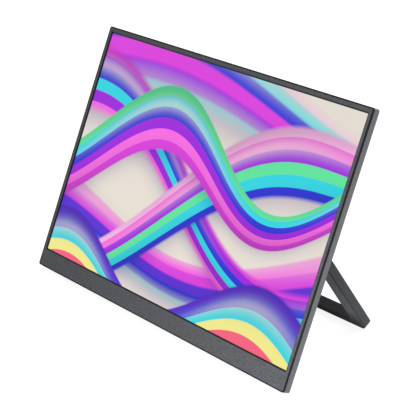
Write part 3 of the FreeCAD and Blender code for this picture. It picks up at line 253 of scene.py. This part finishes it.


# The paint's grain and the grain of the painted shade on the crossbar and lower arms, and how much rougher
# the shaded part is
STAND_GRAIN = 1.2
STAND_RELIEF = 0.01
STAND_GLOSS = 0.1
PAINT_CONTRAST = 0.08
PAINT_ROUGHNESS = 0.5
PAINTED_SHADE_CONTRAST = 0.15
PAINTED_SHADE_ROUGHER = 0.4
# Heights over the desk between which the painted shade fades out up the arms, how far past the housing's
# sides the crossbar's full painted shade ends and how softly, and how far the painted shade stops short of
# the outer sides
PAINTED_SHADE_FADE = (4.0, 20.0)
PAINTED_SHADE_BAR_END = 1.3
PAINTED_SHADE_SOFT = 4.0
PAINTED_SHADE_FROM_SIDE = 0.5


def stand_paint(name, paint_colour, painted_shade_colour):
    """Satin paint on the arms, with painted shade: the crossbar darkened almost black, and the arms
    darkening towards the desk.
    """
    nodes = Nodes(name)
    paint, relief = grain(nodes, paint_colour, STAND_GRAIN, PAINT_CONTRAST)
    painted_shade, _ = grain(nodes, painted_shade_colour, STAND_GRAIN, PAINTED_SHADE_CONTRAST)
    low, high = PAINTED_SHADE_FADE
    below = nodes.math("SUBTRACT", high * MM, nodes.along((0, 0, 1)))
    lower = nodes.math("DIVIDE", below, (high - low) * MM, clamp=True)
    from_middle = nodes.math("ABSOLUTE", nodes.along(ACROSS))
    bar_end = (reach("rear_housing", ACROSS)[1] + PAINTED_SHADE_BAR_END) * MM
    on_bar = nodes.math("DIVIDE", nodes.math("SUBTRACT", bar_end, from_middle), PAINTED_SHADE_SOFT * MM, clamp=True)
    limit = (reach("stand_frame", ACROSS)[1] - PAINTED_SHADE_FROM_SIDE) * MM
    inside = nodes.math("LESS_THAN", from_middle, limit)
    # Painted shade: darkest on the crossbar and on the arms near the desk, never on their outer sides
    painted_shade_mask = nodes.math("MULTIPLY", nodes.math("MAXIMUM", lower, on_bar), inside)
    tone = nodes.mix(painted_shade_mask, paint, painted_shade)
    rough = nodes.math("MULTIPLY_ADD", painted_shade_mask, PAINTED_SHADE_ROUGHER, roughened(nodes, relief, PAINT_ROUGHNESS))
    normal = nodes.bump(relief, STAND_RELIEF * MM)
    return nodes.surface(Base_Color=tone, Roughness=rough, Normal=normal, Specular_IOR_Level=STAND_GLOSS)


# Size and depth of a metal's streaks in millimetres, and how dark they are
STREAK_SIZE = 1.1
STREAK_RELIEF = 0.02
STREAK_SHADE = 0.85
# The values of a noise between which metal and glass change colour
NOISE_RANGE = (0.3, 0.7)


def metal(name, colour, roughness, stretch=(1, 1, 1)):
    """Plain or brushed metal with fine streaks."""
    nodes = Nodes(name)
    streaks = nodes.noise(STREAK_SIZE * MM, 2.0, stretch)
    base = linear(colour)
    tone = nodes.ramp(streaks, list(zip(NOISE_RANGE, (scaled(base, STREAK_SHADE), base))))
    rough = roughened(nodes, streaks, roughness)
    normal = nodes.bump(streaks, STREAK_RELIEF * MM)
    return nodes.surface(Base_Color=tone, Roughness=rough, Metallic=1.0, Normal=normal)


# Depth of a thread's turns in millimetres, how dark the painted shade in its grooves is, and how rough it
# is
THREAD_RELIEF = 0.15
THREAD_PAINTED_SHADE = 0.3
THREAD_ROUGHNESS = 0.32


def threaded(name, colour, pitch_mm):
    """Turned brass whose bore shows the turns of a thread, with painted shade in its grooves."""
    nodes = Nodes(name)
    turns = nodes.math("SINE", nodes.math("MULTIPLY", nodes.along(BACKWARD), math.tau / (pitch_mm * MM)))
    base = linear(colour)
    height = nodes.math("MULTIPLY_ADD", turns, 0.5, 0.5)
    # Painted shade: the colour darkens into the thread's grooves
    tone = nodes.ramp(height, [(0.0, scaled(base, THREAD_PAINTED_SHADE)), (1.0, base)])
    normal = nodes.bump(turns, THREAD_RELIEF * MM)
    return nodes.surface(Base_Color=tone, Roughness=THREAD_ROUGHNESS, Metallic=1.0, Normal=normal)


# Size of the spots in the glass's low-glare front in millimetres, and what they do to its roughness
HAZE_SIZE = 0.4
HAZE_SPREAD = 0.08
HAZE_ROUGHNESS = 0.22
GLASS_GLOSS = 0.3


def screen_glass(name, dark_colour, light_colour):
    """The black border of the panel under its low-glare front."""
    nodes = Nodes(name)
    haze = nodes.noise(HAZE_SIZE * MM, 1.0)
    rough = nodes.math("MULTIPLY_ADD", haze, HAZE_SPREAD, HAZE_ROUGHNESS)
    tone = nodes.ramp(haze, list(zip(NOISE_RANGE, (linear(dark_colour), linear(light_colour)))))
    return nodes.surface(Base_Color=tone, Roughness=rough, Specular_IOR_Level=GLASS_GLOSS)


# Every look, with its roughness, and the size and depth of its grain in millimetres
LOOKS = {
    # The bezel's second colour is painted shade on its chamfers and the window's inner walls
    "bezel": bezel_with_painted_edge_shade("bezel_plastic", "5c5e62", "2b2c2f"),
    "cover": grained("cover_shell", "7a7b7e", 0.5, 1.4, 0.02, contrast=0.1),
    "housing": grained("housing_plastic", "595b5f", 0.6, 1.2, 0.03, contrast=0.14),
    # The stand's second colour is painted shade on the crossbar and the arms near the desk
    "stand": stand_paint("stand_paint", "5c5d61", "424347"),
    "button": grained("button_plastic", "3a3c3f", 0.4, 0.8, 0.01),
    "sign": grained("sign_paint", "b4b6b9", 0.5, 0.5, 0.004),
    "rubber": grained("foot_rubber", "1d1e20", 0.8, 0.8, 0.03, gloss=0.04),
    "gasket": grained("gasket_rubber", "2b2c2f", 0.8, 0.8, 0.02, gloss=0.04),
    "black": grained("black_plastic", "161618", 0.5, 0.8, 0.02),
    "foam": grained("foam", "232325", 0.9, 1.2, 0.1),
    "board": grained("board_green", "1c5a37", 0.4, 0.9, 0.01),
    "white_board": grained("board_white", "d8d3c6", 0.45, 0.9, 0.01),
    "film": grained("film", "e6e6e6", 0.3, 1.2, 0.004, contrast=0.03),
    "cable": grained("flat_cable", "b27a2c", 0.35, 0.9, 0.006),
    "glass": screen_glass("screen_glass", "0b0b0d", "121215"),
    "brass": threaded("brass", "caa14f", 0.7),
    "steel": metal("socket_steel", "b9babc", 0.32, (1, 8, 8)),
    "gold": metal("contact_gold", "d9b35c", 0.3, (1, 8, 8)),
    "hinge": metal("hinge_steel", "96989b", 0.36, (6, 1, 1)),
    "screw": metal("screw_steel", "3b3c3f", 0.38),
}

NODE_LOOKS = {
    "bezel": ["front_bezel"],
    "cover": ["rear_cover"],
    "housing": ["rear_housing"],
    "stand": ["stand_frame"],
    "button": ["power_button", "menu_button", "plus_button", "minus_button"],
    "rubber": ["base_pads", "foot_strip"],
    "gasket": ["seam_gasket"],
    "black": ["audio_jack", "speaker_left", "speaker_right"],
    "foam": ["foam_strips"],
    "board": ["driver_strip", "main_board", "button_board"],
    "white_board": ["led_strip"],
    "film": ["optical_films", "light_guide"],
    "cable": ["panel_cable"],
    "glass": ["lcd_glass"],
    "brass": ["vesa_inserts"],
    "steel": ["usb_c_port_lower", "usb_c_port_upper", "mini_hdmi_port"],
    "hinge": [
        "panel_chassis", "hinge_bracket_right", "hinge_bracket_left", "friction_washers_right",
        "friction_washers_left", "hinge_shaft_right", "hinge_shaft_left", "lock_nut_right", "lock_nut_left",
    ],
    "screw": ["housing_screws", "board_screws", "hinge_screws"],
}
for look, nodes_of_look in NODE_LOOKS.items():
    for node in nodes_of_look:
        slots = frame["nodes"][node].data.materials
        slots.clear()
        slots.append(LOOKS[look])


# Screen picture


CREAM = linear("e8e0d5")
ROSE = linear("f3b4e2")
PINK = linear("f069dc")
MAGENTA = linear("d63fd8")
PURPLE = linear("9a24d6")
VIOLET = linear("5a2bd0")
BLUE = linear("2c31cf")
CYAN = linear("2fd0dc")
MINT = linear("5fdf9a")
CORAL = linear("f0607c")
YELLOW = linear("ece58a")

# Heights and widths are shares of the screen's height, and waves and phase are in radians
Ribbon = namedtuple("Ribbon", "start slope swing waves phase width softness bands")
RIBBONS = [
    Ribbon(0.96, -0.06, 0.08, 2.4, 0.4, 0.36, 0.34, (CYAN, PURPLE, MAGENTA, BLUE, CYAN, ROSE)),
    Ribbon(0.16, 0.10, 0.12, 2.6, 2.2, 0.34, 0.30, (CYAN, BLUE, VIOLET, MAGENTA, PINK, CREAM)),
    Ribbon(0.66, -0.24, 0.16, 3.0, 1.0, 0.25, 0.12, (PINK, PURPLE, CYAN, BLUE, PURPLE, MAGENTA)),
    Ribbon(0.02, 0.46, 0.14, 3.4, 4.0, 0.23, 0.06, (BLUE, CYAN, MINT, PURPLE, PINK, ROSE)),
    Ribbon(0.50, 0.10, 0.18, 4.2, 5.6, 0.22, 0.03, (MAGENTA, PINK, PURPLE, BLUE, CYAN, MINT)),
    Ribbon(-0.03, 0.02, 0.10, 5.2, 0.9, 0.25, 0.04, (PURPLE, CORAL, YELLOW, CYAN, BLUE, VIOLET)),
]


# How much of a band's width changes colour at each of its sides: at least, for a soft ribbon, and at most
CHANGE_LEAST = 0.02
CHANGE_SOFT = 0.3
CHANGE_MOST = 0.45
# How a ribbon's width swells along its course
SWELL_PACE = 0.7
SWELL_PHASE = 1.3
SWELL_SHARE = 0.35
# How its middle is lighter than its sides, and how that moves with the wave
FOLD_LIGHT = 0.26
FOLD_BASE = 0.78
FOLD_MOVE = 0.6
# Where across the ribbon its gleam lies, how narrow it is, and how strong
GLEAM_AT = 0.7
GLEAM_NARROW = 9.0
GLEAM_STRONG = 0.22
# How fast the shadow under it fades, how dark it is, and its colour
SHADOW_FADE = 2.2
SHADOW_DARK = 0.3
SHADOW_COLOUR = scaled(VIOLET, 0.8)


def band_stops(bands, softness):
    """Ramp stops for bands of even colour with a short change between them."""
    count = len(bands)
    change = min(CHANGE_LEAST + CHANGE_SOFT * softness, CHANGE_MOST) / count
    stops = []
    for k, colour in enumerate(bands):
        stops += [(k / count + change, colour), ((k + 1) / count - change, colour)]
    return stops


def lay_ribbon(nodes, across, up, below, ribbon):
    """Lays one waving ribbon of coloured bands, with its soft shadow, over the picture so far."""
    wave = nodes.math("SINE", nodes.math("MULTIPLY_ADD", across, ribbon.waves, ribbon.phase))
    line = nodes.math("MULTIPLY_ADD", across, ribbon.slope, ribbon.start)
    course = nodes.math("MULTIPLY_ADD", wave, ribbon.swing, line)
    pace, phase = ribbon.waves * SWELL_PACE, ribbon.phase + SWELL_PHASE
    swell = nodes.math("SINE", nodes.math("MULTIPLY_ADD", across, pace, phase))
    breadth = nodes.math("MULTIPLY_ADD", swell, SWELL_SHARE * ribbon.width, ribbon.width)
    place = nodes.math("ADD", nodes.math("DIVIDE", nodes.math("SUBTRACT", up, course), breadth), 0.5)
    lower = nodes.math("DIVIDE", place, ribbon.softness, clamp=True)
    upper = nodes.math("DIVIDE", nodes.math("SUBTRACT", 1.0, place), ribbon.softness, clamp=True)
    cover = nodes.math("MULTIPLY", lower, upper)

    move = nodes.math("MULTIPLY", wave, FOLD_MOVE)
    fold = nodes.math("SINE", nodes.math("MULTIPLY_ADD", place, math.pi, move))
    shade = nodes.grey(nodes.math("MULTIPLY_ADD", fold, FOLD_LIGHT, FOLD_BASE))
    bands = nodes.mix(1.0, nodes.ramp(place, band_stops(ribbon.bands, ribbon.softness)), shade, "MULTIPLY")
    off_crest = nodes.math("MULTIPLY", nodes.math("SUBTRACT", place, GLEAM_AT), GLEAM_NARROW)
    fall = nodes.math("MULTIPLY", nodes.math("MULTIPLY", off_crest, off_crest), -1.0)
    crest = nodes.math("EXPONENT", fall)
    gleam = nodes.math("MULTIPLY", crest, nodes.math("MULTIPLY_ADD", wave, GLEAM_STRONG, GLEAM_STRONG))
    bands = nodes.mix(gleam, bands, CREAM)

    depth = nodes.math("MULTIPLY_ADD", place, SHADOW_FADE, 1.0, clamp=True)
    shadow = nodes.math("MULTIPLY", nodes.math("MULTIPLY", depth, depth), SHADOW_DARK)
    under = nodes.mix(shadow, below, nodes.mix(1.0, below, SHADOW_COLOUR, "MULTIPLY"))
    shaded = nodes.mix(nodes.math("LESS_THAN", place, 0.5), below, under)
    return nodes.mix(cover, shaded, bands)


# The panel's own black, its low-glare front, and how much darker the picture's ground is at the top
PANEL_BLACK = linear("050506")
PANEL_ROUGHNESS = 0.4
PANEL_GLOSS = 0.1
GROUND_SHADE = 0.94


def picture(name, width, height):
    """A generic wallpaper of waving ribbons, lit from behind."""
    nodes = Nodes(name)
    split = nodes.add("ShaderNodeSeparateXYZ")
    nodes.feed(split.inputs[0], nodes.add("ShaderNodeUVMap", uv_map="screen").outputs[0])
    across = nodes.math("MULTIPLY", split.outputs[0], width / height)
    up = split.outputs[1]
    image = nodes.ramp(up, [(0.0, CREAM), (1.0, scaled(CREAM, GROUND_SHADE))])
    for ribbon in RIBBONS:
        image = lay_ribbon(nodes, across, up, image, ribbon)
    return nodes.surface(
        Base_Color=PANEL_BLACK,
        Roughness=PANEL_ROUGHNESS,
        Specular_IOR_Level=PANEL_GLOSS,
        Emission_Color=image,
        Emission_Strength=1.0,
    )


# Pieces


def new_piece(name, vertices, faces, look, body, slot):
    mesh = bpy.data.meshes.new(name)
    mesh.from_pydata(vertices, [], faces)
    mesh.validate()
    mesh.materials.append(look)
    piece = bpy.data.objects.new(name, mesh)
    bpy.context.collection.objects.link(piece)
    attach(piece, body)
    return piece


# The black edge round the lit area, and the sheet's place in front of the glass and its thickness
BLACK_EDGE = 1.0
SHEET_GAP = 0.04
SHEET_THICK = 0.03
SHEET_GRID = (64, 40)


def add_screen():
    """The lit picture area, a thin sheet just in front of the glass, inside its black edge."""
    columns, rows = SHEET_GRID
    half, low, high = bezel_window()
    width, height = 2 * (half - BLACK_EDGE), high - low - 2 * BLACK_EDGE
    depth = reach("lcd_glass", BACKWARD)[0] - SHEET_GAP
    vertices, faces = [], []
    for j in range(rows + 1):
        for i in range(columns + 1):
            rise = low + BLACK_EDGE + j / rows * height
            vertices.append(case_point((i / columns - 0.5) * width, depth, rise))
    for j in range(rows):
        for i in range(columns):
            a = j * (columns + 1) + i
            faces.append((a, a + 1, a + columns + 2, a + columns + 1))
    look = picture("screen_picture", width, height)
    sheet = new_piece("screen_picture", vertices, faces, look, "display", "screen_glass")
    layer = sheet.data.uv_layers.new(name="screen")
    for loop in sheet.data.loops:
        j, i = divmod(loop.vertex_index, columns + 1)
        layer.data[loop.index].uv = (i / columns, j / rows)
    backing = sheet.modifiers.new("backing", "SOLIDIFY")
    backing.thickness = SHEET_THICK * MM
    backing.offset = -1


def plate(outline, holes, thickness, place):
    """A flat plate with holes, as vertices and faces; place turns (a, b, rise) into a point."""
    loops = [outline, *holes]
    flat = [Vector((a, b, 0)) for loop in loops for a, b in loop]
    triangles = tessellate_polygon([[Vector((a, b, 0)) for a, b in loop] for loop in loops])
    count = len(flat)
    vertices = [place(p.x, p.y, 0) for p in flat] + [place(p.x, p.y, thickness) for p in flat]
    faces = [tuple(k + count for k in t) for t in triangles] + [tuple(reversed(t)) for t in triangles]
    first = 0
    for loop in loops:
        size = len(loop)
        for k in range(size):
            a, b = first + k, first + (k + 1) % size
            faces.append((a, b, b + count, a + count))
        first += size
    return vertices, faces


def gather(parts):
    """Joins several lists of vertices and faces into one."""
    vertices, faces = [], []
    for more_vertices, more_faces in parts:
        shift = len(vertices)
        vertices += more_vertices
        faces += [tuple(k + shift for k in face) for face in more_faces]
    return vertices, faces


def arc(radius, count, start, sweep):
    turns = [start + sweep * k / (count - 1) for k in range(count)]
    return [(radius * math.cos(turn), radius * math.sin(turn)) for turn in turns]


def ring(radius, count=32):
    return arc(radius, count + 1, 0.0, math.tau)[:-1]


def cross(arm, half):
    """The outline of a plus sign with arms of a given reach and half width."""
    corners = []
    for turn in range(4):
        c, s = round(math.cos(turn * math.pi / 2)), round(math.sin(turn * math.pi / 2))
        for x, y in ((arm, -half), (arm, half), (half, half)):
            corners.append((x * c - y * s, x * s + y * c))
    return corners


def bar(x0, x1, y0, y1):
    return [(x0, y0), (x1, y0), (x1, y1), (x0, y1)]


# Screws further apart than this are separate, and the cap and its cross slot
SCREW_SPACING = 20.0
CAP_RADIUS = 1.75
CAP_THICK = 0.5
SLOT_ARM = 1.05
SLOT_HALF = 0.24


def add_screw_drives():
    """Cross-slotted caps on the heads of the housing's screws."""
    head = reach("housing_screws", BACKWARD)[1]
    parts = []
    for x, height in spots("housing_screws", SCREW_SPACING):
        place = lambda a, b, rise, x=x, height=height: case_point(x + a, head + rise, height - b)
        parts.append(plate(ring(CAP_RADIUS), [cross(SLOT_ARM, SLOT_HALF)], CAP_THICK, place))
    new_piece("screw_drives", *gather(parts), LOOKS["screw"], "display", "screw_steel")


# Half the length and width of a sign's strokes, how proud they are, the pitch of the menu's strokes,
# and the open ring and upright stroke of the power sign
SIGN_REACH = 0.8
SIGN_HALF = 0.14
SIGN_RISE = 0.06
MENU_PITCH = 0.6
POWER_RADIUS = 0.95
POWER_INNER = 0.7
POWER_GAP = math.radians(50)
POWER_STROKE = (0.25, 1.15)
POWER_POINTS = 24


def add_button_signs():
    """A small raised sign on each button's cap."""
    start, sweep = math.pi / 2 + POWER_GAP, math.tau - 2 * POWER_GAP
    outer = arc(POWER_RADIUS, POWER_POINTS, start, sweep)
    inner = arc(POWER_INNER, POWER_POINTS, start, sweep)
    signs = {
        "minus_button": [bar(-SIGN_REACH, SIGN_REACH, -SIGN_HALF, SIGN_HALF)],
        "plus_button": [cross(SIGN_REACH, SIGN_HALF)],
        "menu_button": [
            bar(-SIGN_REACH, SIGN_REACH, y - SIGN_HALF, y + SIGN_HALF)
            for y in (-MENU_PITCH, 0.0, MENU_PITCH)
        ],
        "power_button": [outer + inner[::-1], bar(-SIGN_HALF, SIGN_HALF, *POWER_STROKE)],
    }
    for button, outlines in signs.items():
        face = reach(button, ACROSS)[1]
        depth, height = middle(button, BACKWARD), middle(button, UPWARD)
        place = lambda a, b, rise: case_point(face + rise, depth + a, height + b)
        parts = [plate(outline, [], SIGN_RISE, place) for outline in outlines]
        new_piece(f"{button}_sign", *gather(parts), LOOKS["sign"], button, "button_plastic")


SOCKETS = ("usb_c_port_lower", "usb_c_port_upper", "mini_hdmi_port")
# How far behind a socket's mouth the end of its tongue is looked for
TONGUE_FROM = 0.5
TONGUE_TO = 2.0
# The contacts' pitch and half width, where they start and end behind the tongue's end, and their rise
CONTACT_PITCH = 0.6
CONTACT_HALF = 0.16
CONTACT_START = 0.5
CONTACT_END = 4.5
CONTACT_RISE = 0.03


def add_contacts():
    """Rows of gilt contacts on both faces of each socket's tongue."""
    for socket in SOCKETS:
        mouth = reach(socket, ACROSS)[0]
        vertices = [vertex.co / MM for vertex in frame["nodes"][socket].data.vertices]
        end = [co for co in vertices if TONGUE_FROM < co.x - mouth < TONGUE_TO]
        depths, heights = [co.dot(BACKWARD) for co in end], [co.dot(UPWARD) for co in end]
        depth, height = (min(depths) + max(depths)) / 2, (min(heights) + max(heights)) / 2
        face = (max(depths) - min(depths)) / 2
        count = int((max(heights) - min(heights)) / CONTACT_PITCH)
        rows = [CONTACT_PITCH * (k - (count - 1) / 2) for k in range(count)]
        parts = []
        for side in (1, -1):
            place = lambda a, b, rise, side=side: case_point(
                end[0].x + a, depth + side * (face + rise), height - side * b
            )
            for row in rows:
                outline = bar(CONTACT_START, CONTACT_END, row - CONTACT_HALF, row + CONTACT_HALF)
                parts.append(plate(outline, [], CONTACT_RISE, place))
        new_piece(f"{socket}_contacts", *gather(parts), LOOKS["gold"], "display", "socket_steel")


add_screen()
add_screw_drives()
add_button_signs()
add_contacts()


# Floor, light and camera


# Half the floor's width in metres, how much light it throws back, how much it glows where it is seen,
# and the even light of the room
FLOOR_REACH = 6.0
FLOOR_ALBEDO = 0.3
FLOOR_GLOW = 0.88
ROOM_LIGHT = 0.33


def seen_directly(tree):
    """1 for rays from the camera, a reflection or a see-through surface, and 0 for the rest."""
    path = tree.nodes.new("ShaderNodeLightPath")
    total = path.outputs["Is Camera Ray"]
    for kind in ("Is Glossy Ray", "Is Transmission Ray"):
        largest = tree.nodes.new("ShaderNodeMath")
        largest.operation = "MAXIMUM"
        tree.links.new(total, largest.inputs[0])
        tree.links.new(path.outputs[kind], largest.inputs[1])
        total = largest.outputs[0]
    return total


def add_floor():
    mesh = bpy.data.meshes.new("floor")
    corners = bar(-FLOOR_REACH, FLOOR_REACH, -FLOOR_REACH, FLOOR_REACH)
    mesh.from_pydata([(x, y, 0) for x, y in corners], [], [(0, 1, 2, 3)])
    floor = bpy.data.objects.new("floor", mesh)
    bpy.context.collection.objects.link(floor)
    nodes = Nodes("floor")
    diffuse = nodes.add("ShaderNodeBsdfDiffuse")
    diffuse.inputs["Color"].default_value = (FLOOR_ALBEDO, FLOOR_ALBEDO, FLOOR_ALBEDO, 1)
    glow = nodes.add("ShaderNodeEmission")
    nodes.feed(glow.inputs["Strength"], nodes.math("MULTIPLY", seen_directly(nodes.tree), FLOOR_GLOW))
    both = nodes.add("ShaderNodeAddShader")
    nodes.feed(both.inputs[0], diffuse.outputs[0])
    nodes.feed(both.inputs[1], glow.outputs[0])
    nodes.feed(nodes.output.inputs["Surface"], both.outputs[0])
    mesh.materials.append(nodes.material)


def add_world():
    """White where it is seen, and a soft even light for the rest."""
    world = bpy.data.worlds.new("studio")
    bpy.context.scene.world = world
    world.use_nodes = True
    tree = world.node_tree
    background = tree.nodes["Background"]
    background.inputs["Color"].default_value = (1, 1, 1, 1)
    strength = tree.nodes.new("ShaderNodeMath")
    strength.operation = "MULTIPLY_ADD"
    tree.links.new(seen_directly(tree), strength.inputs[0])
    strength.inputs[1].default_value = 1 - ROOM_LIGHT
    strength.inputs[2].default_value = ROOM_LIGHT
    tree.links.new(strength.outputs[0], background.inputs["Strength"])


# Round lamps: place, the point they face, width in metres and power in watts
Lamp = namedtuple("Lamp", "name place target width power")
OBJECT_MIDDLE = (0, 0, 0.1)
LAMPS = [
    Lamp("key", (0.34, -0.46, 0.11), (0.1, 0, 0.05), 0.2, 2.0),
    Lamp("side", (1.3, 0.3, 0.5), OBJECT_MIDDLE, 0.6, 1.6),
    Lamp("left", (-1.3, 0.45, 0.6), OBJECT_MIDDLE, 0.8, 3.0),
    Lamp("top", (-0.3, 0.6, 2.2), OBJECT_MIDDLE, 1.8, 10.0),
    Lamp("back", (0.5, 1.9, 1.3), OBJECT_MIDDLE, 1.4, 26.0),
]


def add_lamps():
    for lamp in LAMPS:
        light = bpy.data.lights.new(lamp.name, "AREA")
        light.shape = "DISK"
        light.size = lamp.width
        light.energy = lamp.power
        holder = bpy.data.objects.new(lamp.name, light)
        holder.location = lamp.place
        facing = Vector(lamp.target) - Vector(lamp.place)
        holder.rotation_euler = facing.to_track_quat("-Z", "Y").to_euler()
        holder.visible_camera = False
        bpy.context.collection.objects.link(holder)


SENSOR_WIDTH = 36.0
CLIP_NEAR = 0.05
CLIP_FAR = 50.0
CAMERA_PLACE = (1.01915, -0.75146, 0.65636)
CAMERA_AZIMUTH = math.radians(53.0896)
CAMERA_ELEVATION = math.radians(24.137)
CAMERA_ROLL = math.radians(-5.5675)
CAMERA_LENS = 134.629


def add_camera():
    """The camera that took the photo, found from the corners of the screen, case and stand."""
    level = Vector((math.cos(CAMERA_AZIMUTH), math.sin(CAMERA_AZIMUTH), 0))
    ahead = Vector((-level.y, level.x, 0))
    forward = ahead * math.cos(CAMERA_ELEVATION) - Vector((0, 0, math.sin(CAMERA_ELEVATION)))
    upright = level.cross(forward)
    right = level * math.cos(CAMERA_ROLL) + upright * math.sin(CAMERA_ROLL)
    up = upright * math.cos(CAMERA_ROLL) - level * math.sin(CAMERA_ROLL)
    lens = bpy.data.cameras.new("camera")
    lens.sensor_width = SENSOR_WIDTH
    lens.lens = CAMERA_LENS
    lens.clip_start = CLIP_NEAR
    lens.clip_end = CLIP_FAR
    camera = bpy.data.objects.new("camera", lens)
    turn = Matrix((right, up, -forward)).transposed()
    camera.matrix_world = Matrix.Translation(CAMERA_PLACE) @ turn.to_4x4()
    bpy.context.collection.objects.link(camera)
    bpy.context.scene.camera = camera


add_floor()
add_world()
add_lamps()
add_camera()
bpy.context.scene.view_settings.view_transform = "Standard"
